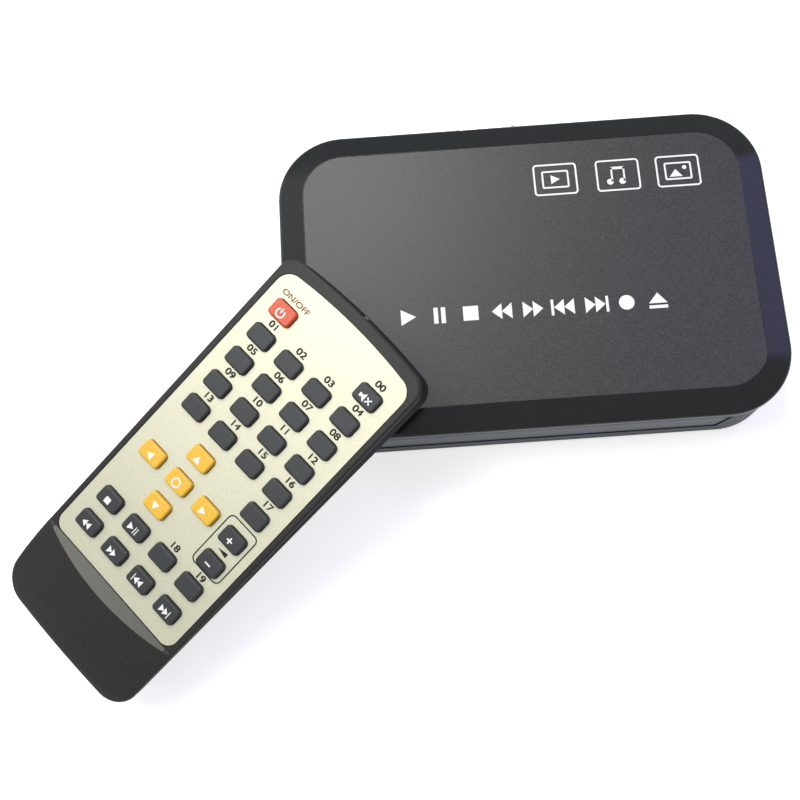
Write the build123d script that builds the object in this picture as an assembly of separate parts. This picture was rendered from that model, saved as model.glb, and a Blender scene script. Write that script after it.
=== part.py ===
# Compact media player, and the infrared remote that leans on its near left corner.
# Millimetres, with +Z up and the player's front towards -Y.
# The origin is the middle of the player's footprint, on the surface that it stands on.
import os
from math import asin, atan, atan2, cos, degrees, hypot, radians, sin, tan

from build123d import *

# Player casing
player_width = 125.0
player_depth = 82.2
corner_radius = 17.0
foot_height = 1.0
rim_height = 20.0
rim_radius = 0.6
crown_rise = 1.5
bezel_width = 6.4
skirt_height = 1.6
seam_step = 0.5
base_draft = 0.6
base_edge_radius = 1.2
wall = 1.8
floor = 1.8
cover_thickness = 1.5
panel_thickness = 1.0
panel_lip = 0.15
fit_gap = 0.1
overrun = 5.0

# Front window, a recessed strip with slanted ends
window_drop = 3.4
window_height = 8.5
window_side_margin = 15.5
window_end_slant = 2.5
window_recess = 0.6

# Feet, screws and the posts that they pass through
foot_radius = 5.0
foot_inset_x = 25.0
foot_inset_y = 11.5
screw_inset_x = 12.5
screw_inset_y = 15.0
screw_radius = 1.2
screw_length = 9.0
screw_head_radius = 2.4
screw_head_height = 1.6
screw_head_gap = 0.4
screw_hole_gap = 0.3
screw_slot_width = 0.7
screw_slot_depth = 0.8
thread_gap = 0.05
post_wall = 1.3
cover_post_radius = 3.0

# Main board and what stands on it
board_thickness = 1.6
board_lift = 1.5
board_edge_gap = 1.0
chip_size = 17.0
chip_height = 1.4
chip_offset_x = -8.0
chip_offset_y = -4.0
sink_size = 24.0
sink_base = 2.0
sink_height = 7.0
sink_fin = 1.2
sink_fin_count = 6
receiver_width = 6.0
receiver_depth = 4.5
receiver_height = 7.0
receiver_lens_radius = 2.2
light_width = 3.4
light_depth = 4.0
light_height = 4.6
light_lens_radius = 1.5
light_spacing = 7.0
receiver_place_share = 0.30
light_place_share = -0.24

# Sockets, with the mouth of each in the casing's wall
cut_gap = 0.4
row_end_share = 1.25
metal_sheet = 0.4
video_width = 15.0
video_height = 5.6
video_depth = 11.0
video_corner = 1.8
video_tongue_width = 11.0
video_tongue_thickness = 0.9
video_tongue_length = 8.0
monitor_width = 30.8
monitor_height = 11.8
monitor_plate = 1.0
monitor_nose_width = 16.6
monitor_nose_height = 8.2
monitor_nose_slant = 1.0
monitor_nose_radius = 1.6
monitor_proud = 3.5
monitor_body_depth = 8.0
monitor_nut_radius = 2.4
monitor_nut_bore = 1.2
monitor_nut_spacing = 25.0
monitor_pin_radius = 0.5
monitor_pin_depth = 3.0
monitor_pin_pitch = 2.29
monitor_pin_row_pitch = 1.98
jack_width = 6.4
jack_height = 5.8
jack_depth = 12.0
jack_nose_radius = 2.8
jack_bore = 1.8
jack_bore_depth = 11.0
power_width = 9.0
power_height = 10.5
power_depth = 11.0
power_nose_radius = 3.9
power_bore = 3.1
power_bore_depth = 9.5
power_pin_radius = 1.0
power_pin_length = 8.5
power_axis_height = 6.2
drive_width = 13.1
drive_height = 5.7
drive_depth = 14.0
drive_sheet = 0.3
drive_tongue_width = 11.1
drive_tongue_thickness = 1.9
drive_tongue_length = 11.0
drive_tongue_drop = 0.7
drive_spacing = 4.0
card_width = 27.0
card_height = 3.2
card_depth = 20.0
card_slot_width = 24.4
card_slot_height = 2.4
card_slot_depth = 17.0
card_place_share = 0.625

# Remote: the key grid sets its plan, and the layers under the keys set its thickness
key_pitch_x = 9.42
key_pitch_y = 7.525
key_columns = 4
key_rows = 10
key_width = 6.5
key_length = 4.4
key_radius = 1.2
key_top_radius = 0.6
key_gap = 0.2
key_proud = 1.2
key_travel = 1.0
key_flange = 0.8
key_flange_overlap = 0.45
key_flange_gap = 0.3
key_stop_gap = 0.3
plate_side_margin = 6.82
plate_head_margin = 9.35
plate_tail_margin = 6.6
plate_arch = 1.5
plate_head_radius = 4.0
plate_tail_radius = 3.0
plate_thickness = 0.8
plate_gap = 0.15
deck_thickness = 1.2
mat_thickness = 0.6
remote_board_thickness = 1.0
remote_board_gap = 0.6
rim_side = 2.0
rim_taper = 0.45
rim_head = 3.05
shell_head_radius = 4.5
shell_tail_radius = 6.8
side_taper = 1.95
shell_wall = 1.6
upper_wall_height = 7.0
tail_length = 20.5
hump_crown = 1.5
hump_drop = 3.0
facet_run = 3.2
lower_taper_inset = 4.6
lower_head_radius = 5.0
lower_tail_radius = 6.0
lower_edge_radius = 4.0

# Cells, their tray and the door over them
cell_diameter = 10.5
cell_length = 44.5
cell_tip_length = 1.2
cell_tip_radius = 1.9
cell_pitch = 11.5
cell_gap = 0.4
contact_room = 3.0
contact_sheet = 0.5
contact_size = 8.0
contact_touch_gap = 0.2
contact_spring_radius = 3.0
contact_button_radius = 2.2
tray_wall = 1.6
tray_ceiling = 0.8
tray_tail_gap = 5.6
door_thickness = 1.15
door_seat_gap = 0.15
door_side_lap = 0.8
door_gap = 0.2
door_tail_margin = 3.0
door_tongue_width = 2.8
door_tongue_reach = 2.2
door_tongue_root = 1.5
door_tongue_thickness = 1.0
door_tongue_lift = 0.25
door_grip_width = 12.0
door_grip_groove = 0.8
door_grip_depth = 0.35
door_grip_pitch = 1.8
door_grip_count = 4
door_grip_margin = 3.0

# Posts under the remote's board, and the emitter in its head wall
support_radius = 2.0
support_inset_x = 8.0
support_place_y = 24.0
emitter_radius = 1.5
emitter_gap = 0.2
emitter_length = 8.0
emitter_flange = 0.4
emitter_flange_length = 1.2
emitter_lift = 0.5

# How the remote lies: turned about the vertical, leaning on the player's rounded corner
remote_turn = -49.96
lean_corner_angle = 220.04
lean_x = 0.97
lean_y = 16.25
lean_gap = 0.3
table_gap = 0.05


# Levels of the player
base_bottom = foot_height
floor_top = base_bottom + floor
base_top = rim_height - skirt_height
crown_top = rim_height + crown_rise
pocket_bottom = crown_top - panel_thickness
cover_inside = pocket_bottom - cover_thickness
board_bottom = floor_top + board_lift
board_top = board_bottom + board_thickness

# Levels of the remote, measured down from the key tops
rim_level = -key_proud
deck_top = rim_level - plate_thickness
deck_bottom = deck_top - deck_thickness
flange_top = deck_bottom - key_flange_gap
flange_bottom = flange_top - key_flange
mat_top = flange_bottom - key_travel - key_stop_gap
mat_bottom = mat_top - mat_thickness
remote_board_bottom = mat_bottom - remote_board_thickness
tray_roof = remote_board_bottom - tray_ceiling
cell_axis = tray_roof - cell_gap - cell_diameter / 2
door_inside = cell_axis - cell_diameter / 2 - cell_gap
remote_floor = door_thickness + door_seat_gap
underside = door_inside - door_thickness
parting = rim_level - upper_wall_height

# Plan of the remote, from the middle of the key grid
plate_half = (key_columns - 1) * key_pitch_x / 2 + plate_side_margin
plate_head = (key_rows - 1) * key_pitch_y / 2 + plate_head_margin
plate_tail = -(key_rows - 1) * key_pitch_y / 2 - plate_tail_margin
shell_half = plate_half + rim_side
shell_head = plate_head + rim_head
shell_tail = plate_tail - tail_length
lower_tail = shell_tail + lower_taper_inset


def player_outline(inset, height):
    """Rounded plan of the player, drawn in by an inset, at a height."""
    plan = RectangleRounded(player_width - 2 * inset, player_depth - 2 * inset, corner_radius - inset)
    return Pos(0, 0, height) * plan


def player_block(low_inset, low, high_inset, high):
    """Straight-sided block between two plans of the player."""
    return loft([player_outline(low_inset, low), player_outline(high_inset, high)], ruled=True)


def base_inset(height):
    """How far the base's drafted outer face stands inside the rim at a height."""
    return seam_step + base_draft * (base_top - height) / (base_top - base_bottom)


def from_front(sketch, depth):
    """Solid drawn on the XZ plane and run back towards -Y from its mouth."""
    return extrude(Plane.XZ * sketch, amount=depth)


def through_wall(sketch):
    """Cutter drawn on the XZ plane that passes through a wall both ways."""
    return extrude(Plane.XZ * sketch, amount=overrun, both=True)


def standing(width, depth, height):
    """Block on its underside, centred in plan."""
    return Box(width, depth, height, align=(Align.CENTER, Align.CENTER, Align.MIN))


def post(radius, low, high):
    """Upright cylinder between two levels."""
    return Pos(0, 0, low) * Cylinder(radius, high - low, align=(Align.CENTER, Align.CENTER, Align.MIN))


def four_corners(x, y):
    """The four places that mirror one place across the middle."""
    return [Pos(side * x, end * y, 0) for side in (-1, 1) for end in (-1, 1)]


# Places on the player
screw_places = four_corners(player_width / 2 - screw_inset_x, player_depth / 2 - screw_inset_y)
foot_places = four_corners(player_width / 2 - foot_inset_x, player_depth / 2 - foot_inset_y)
rear_face = player_depth / 2 - base_inset(board_top)
side_face = player_width / 2 - base_inset(board_top)
board_inset = base_inset(board_bottom) + wall + board_edge_gap
board_front = -player_depth / 2 + board_inset
window_top = base_top - window_drop
window_low = window_top - window_height
window_half = player_width / 2 - window_side_margin


def window_plan(gap):
    """Front strip, wider at its top, drawn in by a gap."""
    high = window_half - gap
    low = high - window_end_slant
    bottom = window_low + gap
    top = window_top - gap
    return make_face(Polyline((-low, bottom), (low, bottom), (high, top), (-high, top), close=True))


def video_plan(shrink):
    """Mouth of the digital video socket, with its two lower corners cut off."""
    half = video_width / 2 - shrink
    low = shrink
    high = video_height - shrink
    corner = low + video_corner
    foot = half - video_corner
    points = [(-foot, low), (foot, low), (half, corner), (half, high), (-half, high), (-half, corner)]
    return make_face(Polyline(*points, close=True))


def digital_video():
    """Sheet-metal socket with a contact tongue across its middle."""
    case = from_front(video_plan(0), video_depth)
    mouth = from_front(video_plan(metal_sheet), video_depth - metal_sheet)
    tongue = Box(video_tongue_width, video_tongue_length, video_tongue_thickness)
    tongue_middle = -video_depth + video_tongue_length / 2
    return case - mouth + Pos(0, tongue_middle, video_height / 2) * tongue


def monitor_nose(grow):
    """The keyed outline of the monitor socket, wider at its top."""
    high = monitor_nose_width / 2 + grow
    low = high - monitor_nose_slant
    half = monitor_nose_height / 2 + grow
    plan = make_face(Polyline((-low, -half), (low, -half), (high, half), (-high, half), close=True))
    return Pos(0, monitor_height / 2) * fillet(plan.vertices(), monitor_nose_radius)


def monitor_nuts(radius):
    """The two fixing nuts beside the monitor socket's nose."""
    nut = Circle(radius)
    return [Pos(side * monitor_nut_spacing / 2, monitor_height / 2) * nut for side in (-1, 1)]


def monitor():
    """Keyed socket on a plate behind the wall, with fifteen contacts and two fixing nuts."""
    plate_face = -wall - fit_gap
    plate_middle = plate_face - monitor_plate / 2
    body_middle = plate_face - monitor_plate - monitor_body_depth / 2
    reach = monitor_proud - plate_face
    piece = Pos(0, plate_middle, 0) * standing(monitor_width, monitor_plate, monitor_height)
    piece += Pos(0, body_middle, 0) * standing(monitor_nose_width, monitor_body_depth, monitor_height)
    piece += Pos(0, monitor_proud, 0) * from_front(monitor_nose(0), reach)
    for nut, bore in zip(monitor_nuts(monitor_nut_radius), monitor_nuts(monitor_nut_bore)):
        piece += Pos(0, monitor_proud, 0) * from_front(nut, reach)
        piece -= Pos(0, monitor_proud, 0) * from_front(bore, monitor_pin_depth)
    for row in (-1, 0, 1):
        for column in (-2, -1, 0, 1, 2):
            x = column * monitor_pin_pitch
            z = monitor_height / 2 + row * monitor_pin_row_pitch
            contact = Pos(x, z) * Circle(monitor_pin_radius)
            piece -= Pos(0, monitor_proud, 0) * from_front(contact, monitor_pin_depth)
    return piece


def round_socket(width, height, depth, nose, bore, bore_depth, axis):
    """Block behind the wall with a round nose through it and a blind bore."""
    nose_length = wall + fit_gap
    body_middle = -nose_length - depth / 2
    piece = Pos(0, body_middle, 0) * standing(width, depth, height)
    piece += from_front(Pos(0, axis) * Circle(nose), nose_length + depth / 2)
    return piece - from_front(Pos(0, axis) * Circle(bore), bore_depth)


def av_jack():
    """Small jack for a 3.5 mm plug."""
    axis = jack_height / 2
    body = (jack_width, jack_height, jack_depth)
    return round_socket(*body, jack_nose_radius, jack_bore, jack_bore_depth, axis)


def power_inlet():
    """Barrel inlet with its centre pin."""
    piece = round_socket(
        power_width, power_height, power_depth,
        power_nose_radius, power_bore, power_bore_depth, power_axis_height,
    )
    pin = from_front(Pos(0, power_axis_height) * Circle(power_pin_radius), power_pin_length)
    return piece + Pos(0, power_pin_length - power_bore_depth, 0) * pin


def drive_plan(shrink):
    """Mouth of a drive socket."""
    return Pos(0, drive_height / 2) * Rectangle(drive_width - 2 * shrink, drive_height - 2 * shrink)


def drive_socket():
    """Sheet-metal socket with its contact tongue near the top."""
    case = from_front(drive_plan(0), drive_depth)
    mouth = from_front(drive_plan(drive_sheet), drive_depth - drive_sheet)
    tongue = Box(drive_tongue_width, drive_tongue_length, drive_tongue_thickness)
    middle = -drive_depth + drive_tongue_length / 2
    height = drive_height - drive_sheet - drive_tongue_drop - drive_tongue_thickness / 2
    return case - mouth + Pos(0, middle, height) * tongue


def card_reader():
    """Flat reader with a wide slot."""
    case = from_front(Pos(0, card_height / 2) * Rectangle(card_width, card_height), card_depth)
    slot = from_front(Pos(0, card_height / 2) * Rectangle(card_slot_width, card_slot_height), card_slot_depth)
    return case - slot


# Sockets in a row along the back, from the digital video socket to the power inlet
row_widths = [video_width, monitor_width, jack_width, jack_width, power_width]
row_room = player_width - 2 * corner_radius - sum(row_widths)
socket_gap = row_room / (len(row_widths) - 1 + 2 * row_end_share)
row_length = sum(row_widths) + (len(row_widths) - 1) * socket_gap
row_places = []
reached = -row_length / 2
for socket_width in row_widths:
    row_places.append(Pos(reached + socket_width / 2, rear_face, board_top))
    reached += socket_width + socket_gap
video_place, monitor_place, jack_a_place, jack_b_place, power_place = row_places
drive_shift = (drive_width + drive_spacing) / 2
drive_places = [Pos(side_face, end * drive_shift, board_top) * Rot(0, 0, -90) for end in (-1, 1)]
card_room = player_depth / 2 - screw_inset_y - cover_post_radius - card_width / 2
card_place = Pos(-side_face, card_place_share * card_room, board_top) * Rot(0, 0, 90)

jack_cut = through_wall(Pos(0, jack_height / 2) * Circle(jack_nose_radius + cut_gap))
drive_cut = through_wall(drive_plan(-cut_gap))
card_cut_plan = Rectangle(card_width + 2 * cut_gap, card_height + 2 * cut_gap)
wall_cuts = [
    video_place * through_wall(video_plan(-cut_gap)),
    monitor_place * through_wall(monitor_nose(cut_gap)),
    jack_a_place * jack_cut,
    jack_b_place * jack_cut,
    power_place * through_wall(Pos(0, power_axis_height) * Circle(power_nose_radius + cut_gap)),
    card_place * through_wall(Pos(0, card_height / 2) * card_cut_plan),
]
wall_cuts += [monitor_place * through_wall(nut) for nut in monitor_nuts(monitor_nut_radius + cut_gap)]
wall_cuts += [place * drive_cut for place in drive_places]

# Base shell: a drafted tub with the window, the socket cut-outs and the four screw posts
cavity_top = base_top + overrun
cavity = player_block(base_inset(floor_top) + wall, floor_top, base_inset(cavity_top) + wall, cavity_top)
base_block = player_block(base_inset(base_bottom), base_bottom, base_inset(base_top), base_top)
base_block = fillet(base_block.faces().sort_by(Axis.Z)[0].edges(), base_edge_radius)
base_shell = base_block - cavity - from_front(window_plan(0), player_depth)
for cut in wall_cuts:
    base_shell -= cut
screw_seat = base_bottom + screw_head_height + screw_head_gap
head_pocket = screw_head_radius + screw_hole_gap
for place in screw_places:
    base_shell += place * post(head_pocket + post_wall, base_bottom, board_bottom)
    base_shell -= place * post(head_pocket, base_bottom - overrun, screw_seat)
    base_shell -= place * post(screw_radius + screw_hole_gap, base_bottom, board_top)

# Front window: a smoked strip set back in the base's front wall
window_low_inset = base_inset(base_bottom) + window_recess
window_high_inset = base_inset(base_top) + window_recess
window_block = player_block(window_low_inset, base_bottom, window_high_inset, base_top) - cavity
front_window = window_block & from_front(window_plan(fit_gap), player_depth)

# Bezel cover: a low crown with a pocket for the panel, on posts that come down to the board
cover = extrude(player_outline(0, base_top), amount=skirt_height)
cover += player_block(0, rim_height, bezel_width, crown_top)
rim_edges = cover.edges().filter_by(lambda edge: abs(edge.center().Z - rim_height) < fit_gap)
cover = fillet(rim_edges, rim_radius)
cover -= extrude(player_outline(bezel_width + panel_lip, pocket_bottom), amount=overrun)
cover -= extrude(player_outline(seam_step + wall, base_top), amount=cover_inside - base_top)
thread_bottom = screw_seat + screw_length + screw_head_gap
for place in screw_places:
    cover += place * post(cover_post_radius, board_top, cover_inside)
    cover -= place * post(screw_radius + thread_gap, board_top - overrun, thread_bottom)
bezel_cover = cover

# Top panel: a matte plate that fills the pocket
top_panel = extrude(player_outline(bezel_width + panel_lip + fit_gap, pocket_bottom), amount=panel_thickness)

# Main board with its screw holes, and the parts that stand on it
main_board = extrude(player_outline(board_inset, board_bottom), amount=board_thickness)
for place in screw_places:
    main_board -= place * post(screw_radius + screw_hole_gap, board_bottom - overrun, board_top + overrun)
chip_place = Pos(chip_offset_x, chip_offset_y, board_top)
processor = chip_place * standing(chip_size, chip_size, chip_height)
fin_pitch = (sink_size - sink_fin) / (sink_fin_count - 1)
heat_sink = standing(sink_size, sink_size, sink_base)
for index in range(sink_fin_count):
    fin_x = -(sink_size - sink_fin) / 2 + index * fin_pitch
    heat_sink += Pos(fin_x, 0, 0) * standing(sink_fin, sink_size, sink_height)
heat_sink = chip_place * Pos(0, 0, chip_height) * heat_sink


def front_lamp(width, depth, height, lens_radius):
    """Block on the board with a round lens towards the front window."""
    lens = Sphere(lens_radius)
    lens_height = height - lens_radius
    return Pos(0, depth / 2, 0) * standing(width, depth, height) + Pos(0, 0, lens_height) * lens


receiver_x = receiver_place_share * player_width
light_x = light_place_share * player_width
receiver_shape = front_lamp(receiver_width, receiver_depth, receiver_height, receiver_lens_radius)
ir_receiver = Pos(receiver_x, board_front + receiver_lens_radius, board_top) * receiver_shape
light_shape = front_lamp(light_width, light_depth, light_height, light_lens_radius)
light_y = board_front + light_lens_radius
light_shift = light_spacing / 2
status_lights = [Pos(light_x + side * light_shift, light_y, board_top) * light_shape for side in (-1, 1)]

# Rubber feet, and screws with a cross recess in the head
rubber_feet = [place * post(foot_radius, 0, foot_height) for place in foot_places]
slot_block = Box(2 * screw_head_radius, screw_slot_width, 2 * screw_slot_depth)
head_bottom = screw_seat - screw_head_height
screw = post(screw_head_radius, head_bottom, screw_seat)
screw += post(screw_radius, screw_seat, screw_seat + screw_length)
for turn in (0, 90):
    screw -= Pos(0, 0, head_bottom) * Rot(0, 0, turn) * slot_block
case_screws = [place * screw for place in screw_places]


def arched_plan(half, tail_half, corner, apex, tail, head_radius, tail_radius, level):
    """Remote-shaped plan: a straight tail, straight sides and a shallow arch at the head."""
    tail_left, tail_right = (-tail_half, tail), (tail_half, tail)
    head_left, head_right = (-half, corner), (half, corner)
    sides = Polyline(head_left, tail_left, tail_right, head_right)
    arch = ThreePointArc(head_right, (0, apex), head_left)
    plan = make_face([*sides.edges(), *arch.edges()])
    plan = fillet(plan.vertices().group_by(Axis.Y)[0], tail_radius)
    head_vertices = plan.vertices().filter_by(lambda vertex: abs(vertex.Y - corner) < fit_gap)
    return Pos(0, 0, level) * fillet(head_vertices, head_radius)


def shell_plan(taper, inset, level):
    """Plan of the remote's shells, with its sides tapered towards the tail, drawn in by an inset."""
    half = shell_half - inset
    corner = shell_head - plate_arch - inset
    apex = shell_head - inset
    head_radius = shell_head_radius - inset
    tail_radius = shell_tail_radius - inset
    return arched_plan(half, half - taper, corner, apex, shell_tail + inset, head_radius, tail_radius, level)


def parting_plan(inset, level):
    """Plan of the shells where they part, drawn in by an inset."""
    return shell_plan(side_taper, inset, level)


def lower_plan(inset, level):
    """Plan of the lower shell's underside, drawn in by an inset."""
    step = lower_taper_inset + inset
    half = shell_half - step
    corner = shell_head - plate_arch - step
    apex = shell_head - step
    head_radius = lower_head_radius - inset
    tail_radius = lower_tail_radius - inset
    tail = shell_tail + step
    return arched_plan(half, half - side_taper, corner, apex, tail, head_radius, tail_radius, level)


def plate_plan(grow, level):
    """Plan of the face plate, grown by a gap."""
    half = plate_half + grow
    corner = plate_head - plate_arch + grow
    apex = plate_head + grow
    head_radius = plate_head_radius + grow
    tail_radius = plate_tail_radius + grow
    return arched_plan(half, half, corner, apex, plate_tail - grow, head_radius, tail_radius, level)


def between(sketch, high):
    """Upright prism from a plan up to a level."""
    return extrude(sketch, amount=high - sketch.center().Z)


# Keys by name, each with its column from the left and its row from the head
key_grid = {"key_power": (1, 0), "key_mute": (4, 0)}
numbered_block = [(column, row) for row in (1, 2, 3, 4) for column in (1, 2, 3, 4)]
plain_keys = numbered_block + [(4, 5), (3, 8), (4, 8)]
for number, grid_place in enumerate(plain_keys, start=1):
    key_grid[f"key_{number:02d}"] = grid_place
key_grid.update({"key_up": (2, 5), "key_left": (1, 6), "key_enter": (2, 6), "key_right": (3, 6)})
key_grid.update({"key_down": (2, 7), "key_volume_up": (4, 6), "key_volume_down": (4, 7)})
key_grid.update({"key_stop": (1, 8), "key_play": (2, 8), "key_rewind": (1, 9)})
key_grid.update({"key_forward": (2, 9), "key_previous": (3, 9), "key_next": (4, 9)})


def key_place(column, row):
    """Where a key stands in the remote's own frame."""
    x = (column - (key_columns + 1) / 2) * key_pitch_x
    y = ((key_rows - 1) / 2 - row) * key_pitch_y
    return Pos(x, y, 0)


key_places = {name: key_place(*grid_place) for name, grid_place in key_grid.items()}

# One key: a cap with rounded top edges on a flange that stops it under the deck
cap = between(Pos(0, 0, flange_bottom) * RectangleRounded(key_width, key_length, key_radius), 0)
cap = fillet(cap.faces().sort_by(Axis.Z)[-1].edges(), key_top_radius)
flange_width = key_width + 2 * key_flange_overlap + 2 * key_gap
flange_length = key_length + 2 * key_flange_overlap + 2 * key_gap
flange_plan = RectangleRounded(flange_width, flange_length, key_radius + key_flange_overlap)
key_shape = cap + between(Pos(0, 0, flange_bottom) * flange_plan, flange_top)
hole_plan = RectangleRounded(key_width + 2 * key_gap, key_length + 2 * key_gap, key_radius + key_gap)
key_hole = between(Pos(0, 0, deck_bottom - overrun) * hole_plan, overrun)

# Upper shell: a flat rimmed front and a crowned tail, cut by a facet behind the plate
tail_start = plate_tail - plate_gap
tail_run = tail_start - shell_tail
barrel_radius = (tail_run**2 + hump_drop**2) / (2 * hump_drop)
crown_radius = (shell_half**2 + hump_crown**2) / (2 * hump_crown)
hump_top = rim_level + hump_crown
facet_angle = atan((hump_crown - facet_run**2 / (2 * barrel_radius)) / facet_run)
section_height = hump_top - parting + overrun
section = Pos(0, hump_top - crown_radius) * Circle(crown_radius)
section &= Pos(0, hump_top - section_height / 2) * Rectangle(2 * shell_half + overrun, section_height)
barrel_axis = Axis((0, tail_start, hump_top - barrel_radius), (1, 0, 0))
barrel_turn = degrees(asin(tail_run / barrel_radius))
barrel = revolve(Plane.XZ.offset(-tail_start) * section, axis=barrel_axis, revolution_arc=2 * barrel_turn)
step_plane = Plane(origin=(0, tail_start, rim_level), x_dir=(1, 0, 0), z_dir=(0, 1, 0))
facet_normal = (0, sin(facet_angle), cos(facet_angle))
facet_plane = Plane(origin=(0, tail_start, rim_level), x_dir=(1, 0, 0), z_dir=facet_normal)
upper_block = loft([parting_plan(0, parting), shell_plan(rim_taper, 0, rim_level)], ruled=True)
front_block = split(upper_block, bisect_by=step_plane, keep=Keep.TOP)
upper_block += between(shell_plan(rim_taper, 0, rim_level), hump_top)
tail_block = split(upper_block, bisect_by=step_plane, keep=Keep.BOTTOM)
tail_block = split(tail_block & barrel, bisect_by=facet_plane, keep=Keep.BOTTOM)
upper_shell = front_block + tail_block
upper_shell -= between(plate_plan(plate_gap, deck_top), rim_level + overrun)
tail_ceiling = rim_level - hump_drop - shell_wall
hollow_plan = parting_plan(shell_wall, parting)
upper_shell -= split(between(hollow_plan, deck_bottom), bisect_by=step_plane, keep=Keep.TOP)
upper_shell -= between(hollow_plan, tail_ceiling)
for place in key_places.values():
    upper_shell -= place * key_hole

# Face plate, with a hole for each key
face_plate = between(plate_plan(0, deck_top), rim_level)
for place in key_places.values():
    face_plate -= place * key_hole

# Keypad mat on the circuit board, both notched at the head for the emitter
emitter_axis = deck_bottom - emitter_lift - emitter_radius
emitter_tip = shell_head
notch = Pos(0, emitter_tip, 0) * Box(
    2 * (emitter_radius + emitter_flange + emitter_gap), 2 * (emitter_length + shell_wall), 2 * -underside
)
board_plan_inset = shell_wall + remote_board_gap


def board_layer(low, high):
    """Layer inside the upper shell that ends at the plate's tail edge."""
    layer = between(parting_plan(board_plan_inset, low), high)
    return split(layer, bisect_by=step_plane, keep=Keep.TOP) - notch


keypad_mat = board_layer(mat_bottom, mat_top)
remote_board = board_layer(remote_board_bottom, mat_bottom)

# Emitter: a round-nosed lamp through the middle of the head wall
emitter_frame = Pos(0, emitter_tip, emitter_axis)
emitter_straight = emitter_length - emitter_radius
emitter = Pos(0, -emitter_radius, 0) * from_front(Circle(emitter_radius), emitter_straight)
emitter += Pos(0, -emitter_radius, 0) * Sphere(emitter_radius)
emitter_back = emitter_flange_length - emitter_length
emitter_collar = from_front(Circle(emitter_radius + emitter_flange), emitter_flange_length)
emitter += Pos(0, emitter_back, 0) * emitter_collar
ir_emitter = emitter_frame * emitter
upper_shell -= emitter_frame * through_wall(Circle(emitter_radius + emitter_gap))

# Places in the battery tray
tray_tail = lower_tail + tray_tail_gap
cell_tail = tray_tail + contact_room
cell_head = cell_tail + cell_length
tray_head = cell_head + contact_room
tray_half = cell_pitch / 2 + cell_diameter / 2 + cell_gap
tray_middle = (tray_tail + tray_head) / 2
tray_length = tray_head - tray_tail
door_tail = tray_tail + door_tail_margin
door_head = tray_head - door_side_lap
door_half = tray_half + door_side_lap
door_length = door_head - door_tail
door_middle = (door_tail + door_head) / 2
floor_level = underside + remote_floor

# Lower shell: tapered walls, the cell tray, the door opening and two posts for the board
lower_block = loft([parting_plan(0, parting), lower_plan(0, underside)], ruled=True)
lower_block = fillet(lower_block.faces().sort_by(Axis.Z)[0].edges(), lower_edge_radius)
lower_hollow = loft([hollow_plan, lower_plan(shell_wall, floor_level)], ruled=True)
tray_wide = 2 * (tray_half + tray_wall)
tray_long = tray_length + 2 * tray_wall
tray = Pos(0, tray_middle, floor_level) * standing(tray_wide, tray_long, remote_board_bottom - floor_level)
tray_room = Pos(0, tray_middle, floor_level) * standing(2 * tray_half, tray_length, tray_roof - floor_level)
opening_wide = 2 * (door_half + door_gap)
opening_long = door_length + 2 * door_gap
opening = Pos(0, door_middle, underside) * Box(opening_wide, opening_long, 2 * remote_floor)
lower_shell = lower_block - lower_hollow + tray - tray_room - opening
support_x = shell_half - support_inset_x
for side in (-1, 1):
    support = post(support_radius, floor_level, remote_board_bottom)
    lower_shell += Pos(side * support_x, support_place_y, 0) * support

# Battery door: a flush plate that tilts out about its tail edge, with a hooking tongue and grip grooves
battery_door = Pos(0, door_middle, underside) * standing(2 * door_half, door_length, door_thickness)
tongue_bottom = floor_level + door_tongue_lift
tongue_top = tongue_bottom + door_tongue_thickness
tongue_length = door_tongue_reach + door_tongue_root
tongue_middle = door_tail + (door_tongue_root - door_tongue_reach) / 2
root_height = tongue_top - underside
tongue = standing(door_tongue_width, tongue_length, door_tongue_thickness)
tongue_root = standing(door_tongue_width, door_tongue_root, root_height)
battery_door += Pos(0, tongue_middle, tongue_bottom) * tongue
battery_door += Pos(0, door_tail + door_tongue_root / 2, underside) * tongue_root
for index in range(door_grip_count):
    groove_y = door_head - door_grip_margin - index * door_grip_pitch
    groove = Box(door_grip_width, door_grip_groove, 2 * door_grip_depth)
    battery_door -= Pos(0, groove_y, underside) * groove

# Two cells that lie head to tail, and the sheet contacts at their ends
cell_places = [Pos(side * cell_pitch / 2, (cell_tail + cell_head) / 2, cell_axis) for side in (-1, 1)]
cell_body = cell_length - cell_tip_length
cell = Pos(0, cell_length / 2 - cell_tip_length, 0) * from_front(Circle(cell_diameter / 2), cell_body)
cell += Pos(0, cell_length / 2, 0) * from_front(Circle(cell_tip_radius), cell_length / 2)
batteries = [cell_places[0] * cell, cell_places[1] * Rot(0, 0, 180) * cell]
touch_length = contact_room - contact_touch_gap
spring = from_front(Circle(contact_spring_radius), touch_length)
button = from_front(Circle(contact_button_radius), touch_length)
single = from_front(Rectangle(contact_size, contact_size), contact_sheet)
double = from_front(Rectangle(contact_size + cell_pitch, contact_size), contact_sheet)
head_end = Pos(0, tray_head, cell_axis)
tail_end = Pos(0, tray_tail, cell_axis) * Rot(0, 0, 180)
left_cell = Pos(-cell_pitch / 2, 0, 0)
right_cell = Pos(cell_pitch / 2, 0, 0)
battery_contacts = [
    head_end * left_cell * (single + button),
    head_end * right_cell * (single + spring),
    tail_end * (double + left_cell * button + right_cell * spring),
]

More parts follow.
